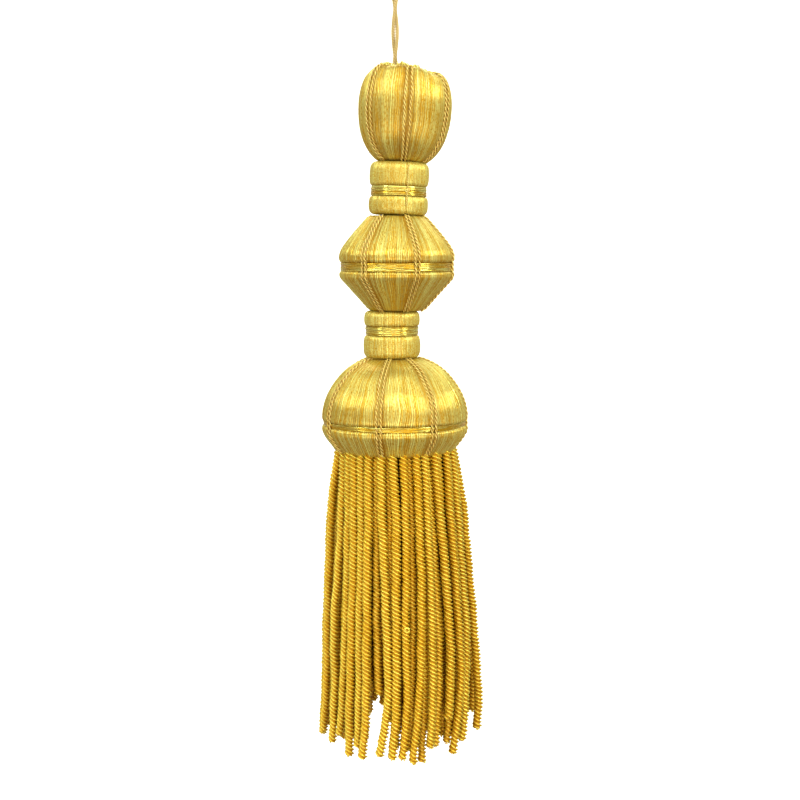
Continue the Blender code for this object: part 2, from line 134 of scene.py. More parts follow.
# Skirt: strands in rows from the outside in, moved apart in rounds of small pushes
STRAND_D = 3.4
STRAND_CLEARANCE = 0.12
STRAIGHT_FROM_ROW = 2
APART_ROUNDS = 600
STRAND_LEVELS = (-212.3, -240.0, -285.0, -315.0, -343.0)
# Inside the dome's lip: the furthest that a strand stands from the skirt's axis, heights of its first points
TUCKED_RADIUS = 21.2
TUCKED_Z = (-207.4, -209.6)
ROW_COUNTS = (32, 27, 22, 17, 13, 9, 8, 5, 3)
MEAN_TIP_Z = -333.5
TIP_SPREAD = (-6.0, 5.0)
TIP_RISE_PER_ROW = 1.2
HEM_GAP_X = -6.7
HEM_GAP_HALF = 4.6
HEM_GAP_BACK_Y = 18.0
HEM_GAP_TOP_Z = -312.0
ROW_SHARE = 0.104
SKIRT_SHAPE = (
    (-212.3, 0.8, 24.9), (-229.6, 1.0, 27.1), (-251.6, 1.1, 29.4), (-274.0, 1.6, 30.6), (-296.0, 2.4, 31.8),
    (-312.0, 2.8, 32.6), (-325.0, 2.2, 33.0), (-345.0, 1.6, 32.8),
)
# Strands that show at the front: row, azimuth at each of the five levels, height of the tip, radial shift
FRONT_STRANDS = (
    (0, -80.0, -80.0, -75.0, -74.0, -80.0, -335.0, 0.6),
    (0, -63.5, -55.0, -61.0, -58.5, -57.2, -336.0, 0.3),
    (0, -53.2, -46.8, -46.8, -50.0, -53.0, -332.0, -0.9),
    (0, -45.0, -38.3, -38.7, -40.6, -37.6, -339.0, 0.0),
    (0, -36.5, -31.6, -32.6, -33.0, -32.6, -335.0, -1.2),
    (0, -27.5, -24.6, -25.4, -25.7, -28.0, -339.0, 0.0),
    (0, -14.3, -11.8, -8.6, -8.2, -14.9, -337.0, 0.0),
    (0, -3.2, 0.0, -2.1, -3.4, -4.7, -338.0, 0.0),
    (0, 7.6, 8.2, 5.6, 5.1, 3.1, -338.0, 0.0),
    (0, 19.8, 20.1, 17.9, 13.8, 11.1, -340.0, 0.0),
    (0, 28.7, 28.0, 26.9, 24.4, 24.4, -334.0, 0.0),
    (0, 40.5, 41.3, 43.6, 39.8, 38.3, -323.0, 0.0),
    (0, 59.0, 55.0, 55.6, 51.3, 44.0, -339.0, 0.0),
    (0, 76.0, 68.5, 67.0, 58.6, 55.4, -335.0, 0.0),
    (0, 92.0, 86.0, 83.0, 81.0, 80.0, -334.0, 2.2),
    (1, -72.0, -68.0, -67.0, -64.0, -62.0, -330.0, 0.0),
    (1, -57.0, -51.0, -54.0, -55.0, -52.0, -331.0, 0.0),
    (1, -31.0, -28.5, -29.0, -27.0, -24.4, -336.0, 0.0),
    (1, -20.5, -18.5, -18.5, -17.5, -19.0, -315.0, 0.0),
    (1, -8.0, -5.6, -5.2, -3.0, -1.2, -334.0, 0.0),
    (1, 14.0, 14.4, 12.0, 9.4, 8.5, -335.0, 0.0),
    (1, 24.5, 24.2, 22.2, 19.6, 20.5, -341.0, 0.0),
    (1, 35.0, 35.2, 36.0, 33.4, 31.6, -335.0, 0.0),
    (1, 49.5, 48.4, 50.0, 46.5, 46.0, -335.0, 0.0),
    (1, 67.0, 61.5, 61.0, 56.0, 50.0, -333.0, 0.0),
    (1, 84.0, 78.0, 77.0, 71.0, 68.0, -336.0, 0.0),
)
BACK_FROM = 101.0
BACK_TO = 270.0

# Points along one turn of a strand and round it, for each piece of the skirt, and for the third row
STRAND_DETAIL = {
    "skirt_front": (12, 18),
    "skirt_back": (10, 12),
    "skirt_second_row": (8, 12),
    "skirt_inner_rows": (5, 6),
}
THIRD_ROW_DETAIL = (7, 6)
# Threads at a cut end, and the row from which ends show none
TIP_THREADS = 10
HIDDEN_FROM_ROW = 3

# A stray thread curled on the front of the skirt: x, height, radius, turns, distance from the strand's line
STRAY_CURL = (5.5, -282.7, 1.2, 1.6, 2.6)
# A knot in the tie thread: height, radius, turns
TIE_KNOT = (-101.2, 0.55, 1.7)
# The tie thread's line: distance from the mould's axis, height; and its azimuth
TIE_LINE = ((11.9, -90.6), (12.6, -93.0), (12.7, -97.6), (12.2, -101.3), (12.6, -105.6), (12.7, -107.4))
TIE_AZIMUTH = 17.0

# Twisted cords: plies, offset of a ply, its half width outward and sideways, radius of the core, length of
# one turn
TWISTS = {
    "bullion": (3, 1.00, 0.86, 0.74, 0.95, 5.0),
    "gimp": (2, 0.27, 0.30, 0.31, 0.12, 4.2),
    "loop": (3, 0.38, 0.48, 0.47, 0.30, 3.3),
    "tie": (2, 0.14, 0.19, 0.21, 0.10, 2.0),
}
# Where each random draw starts
SEEDS = {
    "strands": 11, "hanging_cord": 21, "moulds": 31, "rim": 37, "bands": 51, "tie": 58, "gimps": 61,
    "skirt": 71,
}
# Finishes: three colours (painted shade between the threads, dull, bright); stretch across and along of the
# streaks, then of the flecks of painted glints; strength of the tint, the streaks, the flecks and the cloud;
# contrast of the painted lit crest; roughness of a crest and of a valley; metallic; anisotropic; its rotation
FINISHES = {
    "wound_thread_silk": (
        ("wound_deep", "wound_dull", "wound_bright"),
        (2.6, 0.12), (1.8, 0.8), (0.8, 2.2, 2.4, 1.0), 1.1, (0.28, 0.50), 0.6, 0.85, 0.0,
    ),
    "neck_thread_silk": (
        ("wound_deep", "wound_dull", "wound_bright"),
        (2.0, 0.30), (2.2, 1.5), (0.5, 1.6, 3.2, 0.6), 0.9, (0.30, 0.55), 0.45, 0.5, 0.0,
    ),
    "band_thread_silk": (
        ("wound_deep", "wound_dull", "wound_bright"),
        (0.10, 2.0), (0.6, 1.6), (0.8, 2.6, 1.6, 0.8), 1.3, (0.26, 0.5), 0.8, 0.85, 0.25,
    ),
    "gimp_cord_silk": (
        ("wound_deep", "wound_dull", "gimp_bright"),
        (2.0, 0.3), (0.9, 0.5), (0.3, 0.8, 1.0, 0.6), 1.2, (0.4, 0.6), 0.3, 0.0, 0.0,
    ),
    "hanging_cord_silk": (
        ("loop_painted_shade", "loop_dull", "loop_bright"),
        (2.0, 1.0), (1.4, 1.2), (0.3, 1.0, 1.4, 0.5), 1.2, (0.5, 0.7), 0.1, 0.0, 0.0,
    ),
    "bullion_silk": (
        ("bullion_painted_shade", "bullion_dull", "bullion_bright"),
        (1.2, 0.06), (1.6, 1.2), (0.8, 1.0, 2.8, 1.2), 2.4, (0.24, 0.6), 0.35, 0.0, 0.0,
    ),
}
# Lights: name, place, height that it points at on the axis, width, height, its strength and the share of
# it, its colour
LAMPS = (
    ("key_left", (-0.36, -0.58, 0.52), -0.18, 0.30, 0.25, "key", 1.0, "cool"),
    ("key_right", (0.40, -0.56, 0.52), -0.18, 0.30, 0.25, "key", 1.0, "cool"),
    ("left", (-0.72, -0.45, 0.36), -0.18, 0.30, 0.30, "side", 1.0, "cool"),
    ("right", (0.75, -0.42, 0.30), -0.20, 0.30, 0.36, "side", 1.4, "cool"),
    ("front", (0.10, -1.00, -0.05), -0.20, 1.10, 0.90, "fill", 1.0, "warm"),
    ("low", (0.0, -0.60, -0.39), -0.20, 0.90, 0.30, "low", 1.0, "warm"),
    ("above_left", (-0.42, -0.14, 0.58), -0.15, 0.32, 0.32, "overhead", 1.0, "cool"),
    ("above_right", (0.46, -0.14, 0.58), -0.15, 0.32, 0.32, "overhead", 1.0, "cool"),
    ("back_left", (-0.25, 0.62, 0.42), -0.18, 0.40, 0.40, "side", 0.8, "warm"),
    ("back_right", (0.32, 0.62, 0.42), -0.18, 0.40, 0.40, "side", 0.8, "cool"),
)
# Floor and backdrop, in metres: half width, front edge, foot and radius of the bend, wall, top
SWEEP = (1.4, -1.6, 0.35, 0.35, 0.70, 1.2)
CAMERA_X = 2.57


def smooth_curve(route, step):
    """Points about a step apart on a curve through the route: on each stretch a cubic whose slope at a
    route point is half the way between the two neighbours of that point."""
    route = np.asarray(route, dtype=float)
    padded = np.vstack([2 * route[0] - route[1], route, 2 * route[-1] - route[-2]])
    dense = []
    for i in range(len(route) - 1):
        a, b, c, d = padded[i : i + 4]
        t = np.linspace(0.0, 1.0, 24, endpoint=False)[:, None]
        cubic = 2 * b + (c - a) * t + (2 * a - 5 * b + 4 * c - d) * t**2 + (3 * b - a - 3 * c + d) * t**3
        dense.append(0.5 * cubic)
    dense = np.vstack([*dense, route[-1:]])
    return spaced(dense, max(2, round(line_length(dense) / step)) + 1)


def reach_along(points):
    """Distance along a line at each of its points."""
    return np.concatenate([[0.0], np.cumsum(np.linalg.norm(np.diff(points, axis=0), axis=1))])


def line_length(points):
    """Sum of the distances between a line's points."""
    return float(reach_along(points)[-1])


def spaced(points, count):
    """The line with a number of points at equal distances along it."""
    reach = reach_along(points)
    wanted = np.linspace(0.0, reach[-1], count)
    return np.stack([np.interp(wanted, reach, points[:, k]) for k in range(points.shape[1])], axis=1)


def unit(vectors):
    """Each vector divided by its length."""
    return vectors / np.linalg.norm(vectors, axis=-1, keepdims=True)


def waver(values, waves, size, chance):
    """A gentle random drift along values: a sum of sines, one for each wave length, with random phases."""
    total = np.zeros_like(values, dtype=float)
    for wave in waves:
        phase, height = chance.uniform(0.0, FULL_TURN), chance.uniform(0.5, 1.0)
        total += np.sin(values * FULL_TURN / wave + phase) * height
    return total * size / len(waves)


class Sheet:
    """A grid of points, rows by columns, whose columns close round, with values at each point.

    across and along are the coordinates that a material reads, in millimetres; period is the way
    round, so that the seam reads on. The first and last rows are closed with a fan of triangles.
    """

    def __init__(self, points, across, along, relief, tone, period, depth=0.0):
        shape = points.shape[:2]
        self.points = points
        self.across = np.broadcast_to(across, shape)
        self.along = np.broadcast_to(along, shape)
        self.relief = np.broadcast_to(relief, shape)
        self.tone = np.broadcast_to(tone, shape)
        # Painted shade at each point, from none to full
        self.depth = np.broadcast_to(depth, shape)
        self.period = period


def sheet_faces(rows, columns, start):
    """Quads between the points of a grid that closes round, counted row by row from a start, and the
    mask of the quads that lie on the seam."""
    r, c = np.meshgrid(np.arange(rows - 1), np.arange(columns), indexing="ij")
    after = (c + 1) % columns
    here, below = r * columns, (r + 1) * columns
    quads = np.stack([here + c, below + c, below + after, here + after], axis=-1)
    return quads.reshape(-1, 4) + start, (after == 0).reshape(-1)


def piece(name, sheets, material, nodes):
    """One object of several sheets, in place, that rides the root and stands for its CAD nodes."""
    spots, relief, tone, depth = [], [], [], []
    corners, sizes, corner_across, corner_along = [], [], [], []
    start = 0
    for one in sheets:
        rows, columns = one.points.shape[:2]
        quads, seam = sheet_faces(rows, columns, start)
        flat_across, flat_along = one.across.reshape(-1), one.along.reshape(-1)
        quad_across = flat_across[quads - start]
        quad_across[seam, 2:] += one.period
        corners.append(quads.reshape(-1))
        sizes.append(np.full(len(quads), 4))
        corner_across.append(quad_across.reshape(-1))
        corner_along.append(flat_along[quads - start].reshape(-1))
        ring = np.arange(columns)
        after = (ring + 1) % columns
        first, last = start + rows * columns, start + rows * columns + 1
        end_row = (rows - 1) * columns
        fans = np.concatenate(
            [
                np.stack([np.full(columns, first), start + ring, start + after], axis=1),
                np.stack([np.full(columns, last), start + end_row + after, start + end_row + ring], axis=1),
            ]
        )
        corners.append(fans.reshape(-1))
        sizes.append(np.full(len(fans), 3))
        corner_across.append(np.zeros(fans.size))
        corner_along.append(np.repeat([flat_along[0], flat_along[-1]], columns * 3))
        spots.append(one.points.reshape(-1, 3))
        spots.append(np.stack([one.points[0].mean(axis=0), one.points[-1].mean(axis=0)]))
        for held, grid in ((relief, one.relief), (tone, one.tone), (depth, one.depth)):
            held.append(grid.reshape(-1))
            held.append([grid[0].mean(), grid[-1].mean()])
        start += rows * columns + 2
    spots = np.concatenate(spots) * MM
    corners, sizes = np.concatenate(corners), np.concatenate(sizes)
    mesh = bpy.data.meshes.new(name)
    mesh.vertices.add(len(spots))
    mesh.vertices.foreach_set("co", spots.astype(np.float32).reshape(-1))
    mesh.loops.add(len(corners))
    mesh.loops.foreach_set("vertex_index", corners.astype(np.int32))
    mesh.polygons.add(len(sizes))
    mesh.polygons.foreach_set("loop_start", np.concatenate([[0], np.cumsum(sizes)[:-1]]).astype(np.int32))
    mesh.update(calc_edges=True)
    mesh.shade_smooth()
    layer = mesh.uv_layers.new(name="thread")
    pairs = np.stack([np.concatenate(corner_across), np.concatenate(corner_along)], axis=1)
    layer.data.foreach_set("uv", pairs.astype(np.float32).reshape(-1))
    for label, values in (("relief", relief), ("tone", tone), ("depth", depth)):
        held = mesh.attributes.new(label, "FLOAT", "POINT")
        held.data.foreach_set("value", np.concatenate(values).astype(np.float32))
    mesh.materials.append(material)
    made = bpy.data.objects.new(name, mesh)
    bpy.context.scene.collection.objects.link(made)
    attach(made, "root")
    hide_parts(*nodes)
    return made


def twisted_cord(centres, towards, twist, around, chance, size=1.0, tone=0.5, swell=1.0):
    """The sheet of a cord of twisted plies: at each point of the centre line a section that turns once
    in the twist's length. The section is the outline of as many ellipses as there are plies, set evenly
    round the middle, each at its offset and with its half widths outward and sideways, joined to a
    round core."""
    plies, offset, outward, sideways, core, turn_length = TWISTS[twist]
    centres = np.asarray(centres, dtype=float)
    along = unit(np.gradient(centres, axis=0))
    towards = np.broadcast_to(np.asarray(towards, dtype=float), centres.shape)
    normal = unit(towards - (towards * along).sum(axis=1)[:, None] * along)
    side = np.cross(normal, along)
    reach = reach_along(centres)
    turn = chance.uniform(0.0, FULL_TURN) + FULL_TURN * reach / turn_length
    angle = np.arange(around) * FULL_TURN / around
    lobe = FULL_TURN / plies
    off_ply = (angle + lobe / 2.0) % lobe - lobe / 2.0
    square = (np.cos(off_ply) / outward) ** 2 + (np.sin(off_ply) / sideways) ** 2
    half = offset * np.cos(off_ply) / outward**2
    under_root = np.clip(half**2 - square * ((offset / outward) ** 2 - 1.0), 0.0, None)
    ray = np.maximum((half + np.sqrt(under_root)) / square, core) * size
    # Ply crests get the lit colour; the grooves between the plies and the core get the painted shade colour
    relief = (ray - ray.min()) / (ray.max() - ray.min())
    swell = np.broadcast_to(swell, len(centres))
    whole = turn[:, None] + angle[None, :]
    points = centres[:, None, :] + (ray[None, :] * swell[:, None])[:, :, None] * (
        np.cos(whole)[:, :, None] * normal[:, None, :] + np.sin(whole)[:, :, None] * side[:, None, :]
    )
    girth = FULL_TURN * (offset + outward) * size
    return Sheet(
        points,
        angle[None, :] / FULL_TURN * girth + chance.uniform(0.0, 50.0),
        reach[:, None] + chance.uniform(0.0, 500.0),
        relief[None, :],
        tone,
        girth,
    )


def lean_vector(seat, vector):
    """A direction on a mould turned about the y axis by the mould's lean."""
    lean = math.radians(SEATS[seat][2])
    x, y, z = np.moveaxis(vector, -1, 0)
    return np.stack(
        [x * math.cos(lean) + z * math.sin(lean), y, z * math.cos(lean) - x * math.sin(lean)], axis=-1
    )


def on_mould(seat, radius, angle, height):
    """Points on a mould from the distance to its axis, the azimuth from the front towards +X and the
    height, leaned and shifted as the mould sits."""
    foot_x, foot_z, _ = SEATS[seat]
    spots = np.broadcast_arrays(radius * np.sin(angle), -radius * np.cos(angle), height - foot_z)
    return lean_vector(seat, np.stack(spots, axis=-1)) + [foot_x, 0.0, foot_z]


def round_outline(outline, rows, softness):
    """An outline drawn as a smooth line, its corners rounded by a running mean with a bell-shaped
    weight of the given half width, and cut into rows that lie closer where it bends."""
    dense = smooth_curve(outline, 0.1)
    reach = np.arange(-4 * softness, 4 * softness + 0.05, 0.1)
    weight = np.exp(-0.5 * (reach / softness) ** 2)
    weight /= weight.sum()
    margin = len(weight) // 2
    padded = np.pad(dense, ((margin, margin), (0, 0)), mode="reflect", reflect_type="odd")
    soft = np.stack([np.convolve(padded[:, k], weight, mode="valid") for k in range(2)], axis=1)
    slope = unit(np.gradient(soft, axis=0))
    bend = np.concatenate([[0.0], np.cumsum(np.linalg.norm(np.diff(slope, axis=0), axis=1))])
    along = reach_along(soft)
    share = along / along[-1] + 0.8 * bend / bend[-1]
    wanted = np.linspace(0.0, share[-1], rows)
    picked = np.stack([np.interp(wanted, share, soft[:, k]) for k in range(2)], axis=1)
    picked_slope = unit(np.stack([np.interp(wanted, share, slope[:, k]) for k in range(2)], axis=1))
    outwards = np.stack([-picked_slope[:, 1], picked_slope[:, 0]], axis=1)
    return picked, outwards, np.interp(wanted, share, along)


def wound_mould(seat, material, chance):
    """A mould covered with lengthwise threads. The outline is turned about the mould's axis; each thread
    is a ridge with a flat crest and a narrow valley beside it, of its own width, height and tint. All
    threads sway together a little along the way, and the cover puffs out between the gimp cords."""
    threads, rows, relief_height, puff = WINDING[seat]
    line, normals, along = round_outline(OUTLINES[seat], rows, 0.35)
    radius, height = line[:, 0][:, None], line[:, 1][:, None]
    widths = chance.uniform(0.55, 1.45, threads)
    edges = np.concatenate([[0.0], np.cumsum(widths)]) / widths.sum() * FULL_TURN
    shares = np.array([0.0, 0.28, 0.72])
    angle = (edges[:-1, None] + np.diff(edges)[:, None] * shares[None, :]).reshape(-1)
    crest = np.tile([0.0, 1.0, 1.0], threads)
    gap = chance.uniform(0.6, 1.1, threads) + 1.3 * (chance.uniform(size=threads) > 0.94)
    valley = np.repeat(gap, 3)
    lift = np.repeat(chance.normal(0.0, 0.30, threads), 3)
    tint = np.repeat(chance.uniform(0.0, 1.0, threads), 3)
    girth = FULL_TURN * np.abs(line[:, 0]).max()
    sway = waver(angle[None, :] * 9.0 + along[:, None] * 0.5, (7.0, 17.0), 1.0, chance)
    sway = sway + waver(angle[None, :] * 3.0 - along[:, None] * 0.35, (4.0, 9.0), 1.2, chance)
    full = np.sin(np.linspace(0.0, math.pi, rows))[:, None] ** 0.5
    angle_here = angle[None, :] + np.radians(sway) * 0.8 * full
    body = np.clip(radius / line[:, 0].max() * 1.6, 0.3, 1.0)
    ripple = waver(along[:, None] + angle[None, :] * 23.0, (5.0, 11.0, 23.0), 0.35, chance)
    profile = crest - (1.0 - crest) * (valley - 0.8) + lift
    raise_by = relief_height * (body * profile[None, :] + ripple * crest[None, :] - 0.5)
    # Closeness to the gimp cords: the cover dips there and also gets painted shade beside the cords
    press_and_painted_shade = np.zeros_like(angle_here)
    if puff:
        for azimuth in GIMP_PAIRS[seat][2]:
            away = (angle_here - math.radians(azimuth) + math.pi) % FULL_TURN - math.pi
            press_and_painted_shade = press_and_painted_shade + np.exp(-((away * radius / 3.2) ** 2))
        raise_by = raise_by + puff * (0.35 - press_and_painted_shade) * full
    deep = radius + normals[:, 0][:, None] * raise_by
    level = height + normals[:, 1][:, None] * raise_by
    if seat == "ball":
        level = level + rim_rise(angle_here, height)
    points = on_mould(seat, deep, angle_here, level)
    # Crests get the lit colour, valleys the painted shade colour; threads that stand higher are painted a
    # little lighter, lower ones a little darker
    relief = np.clip(crest * (0.8 + 0.2 * lift) * np.clip(1.0 + 0.2 * lift, 0.3, 1.0), 0.0, 1.0)
    across = angle[None, :] / FULL_TURN * girth
    sheet = Sheet(points, across, along[:, None], relief[None, :], tint[None, :], girth, press_and_painted_shade)
    return piece(f"{seat}_wound", [sheet], material, [seat])


def wound_band(name, material, chance):
    """Thread wound round in a groove: a ring whose section is a row of round ridges, one a turn. Each
    turn wanders up and down a little round the mould and has its own thickness and tint."""
    seat, outer, top, bottom, turns = BANDS[name]
    columns, per_turn = 180, 6
    angle = np.arange(columns) * FULL_TURN / columns
    count = np.arange(turns * per_turn + 1) / per_turn
    widths = chance.uniform(0.6, 1.5, turns)
    edges = np.concatenate([[0.0], np.cumsum(widths)]) / widths.sum() * (top - bottom)
    ridge = np.sqrt(np.clip(1.0 - (2.0 * (count % 1.0) - 1.0) ** 2, 0.0, 1.0))
    drift = np.stack([waver(angle * outer, (24.0, 11.0), 0.30, chance) for _ in range(turns + 1)])
    drift[0] = drift[-1] = 0.0
    spread = np.clip(1.0 - np.abs(count[:, None] - np.arange(turns + 1)[None, :]), 0.0, 1.0)
    height = top - (spread @ edges)[:, None] + spread @ drift
    sink = np.repeat(chance.uniform(0.0, 0.35, turns), per_turn)
    sink = np.append(sink, sink[-1])
    thickness, foot = 0.45, 1.1
    sag = waver(angle * outer, (9.0, 31.0), 0.08, chance)
    radius = outer - thickness + ((thickness - sink) * ridge)[:, None] + sag
    level = np.ones((1, columns))
    radius = np.concatenate([level * (outer - foot), radius, level * (outer - foot)])
    height = np.concatenate([level * top, height, level * bottom])
    points = on_mould(seat, radius, angle[None, :], height)
    tint = np.repeat(chance.uniform(0.0, 1.0, turns), per_turn)
    tint = np.concatenate([[tint[0]], tint, [tint[-1]] * 2])
    # Crests of the turns get the lit colour; the grooves between turns and the band's edges get the painted
    # shade colour
    relief = np.concatenate([[0.0], ridge, [0.0]])
    along = np.concatenate([[0.0], spread @ edges, [top - bottom]])
    across, girth = angle[None, :] * outer, FULL_TURN * outer
    sheet = Sheet(points, across, along[:, None], relief[:, None], tint[:, None], girth)
    return piece(f"{name}_wound", [sheet], material, [name])


def rim_fall(angle):
    """How far the ball's rim has sunk at an azimuth: the fall times one half and half a sine, so that it
    is none at the left and the whole at the right."""
    fall = sizes().rim_fall / MM
    return fall * (0.5 + 0.5 * np.sin(angle - 0.25))


def rim_bumps(angle):
    """Height of the rim's bumps and dips at an azimuth: a sum of bell curves."""
    total = np.zeros_like(angle)
    for azimuth, width, height, _ in RIM_BUMPS:
        away = (np.degrees(angle) - azimuth + 180.0) % 360.0 - 180.0
        total = total + height * np.exp(-((away / width) ** 2))
    return total


def rim_rise(angle, height):
    """How far the ball's cover is raised at an azimuth and a height: the bumps times the square of the
    share of the way up to the rim, less the fall times that share."""
    near_rim = np.clip((height - RIM_START_Z) / RIM_SPAN, 0.0, 1.0)
    return rim_bumps(angle) * near_rim**2 - rim_fall(angle) * near_rim


def rim_loops(chance):
    """Small loops of thread that stand up along the ball's rim, half circles of thin thread: strays all
    round it and more of them, taller, on its bumps."""
    made = []
    crown, crown_z = RIM_CROWN
    places = [(chance.uniform(-180.0, 180.0), 0.5, 1.5) for _ in range(STRAY_LOOPS)]
    for azimuth, width, _, count in RIM_BUMPS:
        places += [(azimuth + width * chance.normal(0.0, 0.6), 0.6, 1.9) for _ in range(count)]
    for azimuth, low, high in places:
        width, tall = chance.uniform(0.03, 0.16), chance.uniform(low, high)
        share = np.linspace(0.0, 1.0, 8)
        angle = math.radians(azimuth) + width * (share - 0.5)
        out = chance.uniform(9.6, 14.4) + chance.uniform(-1.6, 1.6) * share
        floor = crown_z - 0.04 * np.abs(out - crown) ** 1.5 - rim_fall(angle) + rim_bumps(angle)
        centres = on_mould("ball", out, angle, floor + tall * (np.sin(share * math.pi) - 0.15))
        made.append(plain_tube(centres, chance.uniform(0.13, 0.21), 5, chance))
    return made


def plain_tube(centres, radius, around, chance, taper=0.0):
    """A thin round thread along a line, thinner towards its end by the taper."""
    along = unit(np.gradient(centres, axis=0))
    guide = np.where(np.abs(along[:, 2:3]) < 0.8, [[0.0, 0.0, 1.0]], [[1.0, 0.0, 0.0]])
    guide = np.broadcast_to(guide[len(guide) // 2], along.shape)
    normal = unit(guide - (guide * along).sum(axis=1)[:, None] * along)
    side = np.cross(normal, along)
    angle = np.arange(around) * FULL_TURN / around
    size = radius * (1.0 - taper * np.linspace(0.0, 1.0, len(centres)))
    points = centres[:, None, :] + size[:, None, None] * (
        np.cos(angle)[None, :, None] * normal[:, None, :] + np.sin(angle)[None, :, None] * side[:, None, :]
    )
    across, reach = angle[None, :] * radius, reach_along(centres)[:, None]
    return Sheet(points, across, reach, 1.0, chance.uniform(0.5, 1.0), FULL_TURN * radius)


def gimp_route(seat):
    """The line down a mould that a laid cord follows: the mould's soft outline between two shares of its
    length, level across the band, whose crest it rests on."""
    line = round_outline(OUTLINES[seat], 400, 0.6)[0]
    along = reach_along(line) / line_length(line)
    low, high = GIMP_REACH[seat]
    line = line[(along > low) & (along < high)]
    for mould, outer, top, bottom, _ in BANDS.values():
        if mould == seat:
            over = (line[:, 1] < top + 0.6) & (line[:, 1] > bottom - 0.6)
            line[over, 0] = np.maximum(line[over, 0], outer - 0.05)
    return line[::8]


def laid_line(seat, line, azimuth, side_share, side_offset, lift, chance, step):
    """The centre line of a cord that lies on a mould: the mould's own line lifted off along its normal
    and turned sideways by an offset, with a small drift."""
    points = smooth_curve(line, step)
    slope = unit(np.gradient(points, axis=0))
    normals = np.stack([-slope[:, 1], slope[:, 0]], axis=1)
    share = reach_along(points)
    share = share / share[-1]
    radius = points[:, 0] + normals[:, 0] * lift
    height = points[:, 1] + normals[:, 1] * lift
    sideways = np.interp(share, side_share, side_offset) + waver(share * 40.0, (26.0, 11.0), 0.25, chance)
    angle = math.radians(azimuth) + sideways / radius
    if seat == "ball":
        height = height + rim_rise(angle, height)
    out = np.stack([normals[:, 0] * np.sin(angle), -normals[:, 0] * np.cos(angle), normals[:, 1]], axis=1)
    return on_mould(seat, radius, angle, height), lean_vector(seat, out)


def gimp_sheets(seat, azimuth, spacing, chance):
    """The two cords of a pair, close together where they tuck in above and below."""
    shares = (0.0, 0.12, 0.35, 0.65, 0.92, 1.0)
    spread = np.array([1.3, 1.45, spacing, spacing, 1.45, 1.3]) / 2
    route, step, lift = gimp_route(seat), TWISTS["gimp"][5] / 10.0, sizes().gimp_lift / MM
    made = []
    for hand in (-1.0, 1.0):
        offsets = hand * spread * chance.uniform(0.94, 1.06)
        centres, out = laid_line(seat, route, azimuth, shares, offsets, lift, chance, step)
        made.append(twisted_cord(centres, out, "gimp", 10, chance, tone=chance.uniform(0.2, 0.8)))
    return made


def loop_route():
    """Route of the folded cord: up one twisted leg, round the eye and down the other leg."""
    heights = np.linspace(LEG_FOOT_Z, LEG_TOP_Z, LEG_POINTS)
    turn = (heights - SIDE_BY_SIDE_Z) / HALF_TURN_H * math.pi + math.pi
    swing = LEG_SPACING / 2 * np.stack([np.cos(turn), np.sin(turn)], axis=1)
    left = [(LEG_X + x, y, z) for (x, y), z in zip(swing, heights)]
    right = [(LEG_X - x, -y, z) for (x, y), z in zip(swing, heights)]
    if left[-1][0] > right[-1][0]:
        left, right = right, left
    eye = (
        (-2.6, 0.0, -12.8), (-5.0, 0.0, -8.6), (-5.6, 0.0, -4.6), (-4.0, 0.0, -0.9), (0.0, 0.0, 0.9),
        (4.0, 0.0, -0.9), (5.6, 0.0, -4.6), (5.2, 0.0, -8.6), (3.2, 0.0, -12.8),
    )
    return [*left, *eye, *reversed(right)]


def skirt_axis(height):
    """The x of the skirt's axis and the radius of its outer row at a height."""
    heights, axis, radius = np.array(SKIRT_SHAPE).T
    return np.interp(-height, -heights, axis), np.interp(-height, -heights, radius)


def strand_table():
    """Azimuths at each level, tip heights, rows and radial shifts of every strand."""
    chance = seeded("strands")
    rows = list(FRONT_STRANDS)
    for row, count in enumerate(ROW_COUNTS):
        fixed = sum(1 for strand in rows if strand[0] == row)
        if fixed:
            starts = np.linspace(BACK_FROM, BACK_TO, count - fixed)
        else:
            starts = np.arange(count) * 360.0 / count + 9.0 * row
        pitch = abs(starts[1] - starts[0])
        for start in starts:
            top = start + chance.uniform(-0.22, 0.22) * pitch
            drift = np.cumsum(chance.uniform(-0.16, 0.16, 4)) * pitch
            tip = MEAN_TIP_Z + chance.uniform(*TIP_SPREAD) + TIP_RISE_PER_ROW * row
            rows.append((row, top, *(top + drift), tip, chance.uniform(-0.3, 0.5)))
    return np.array(rows)


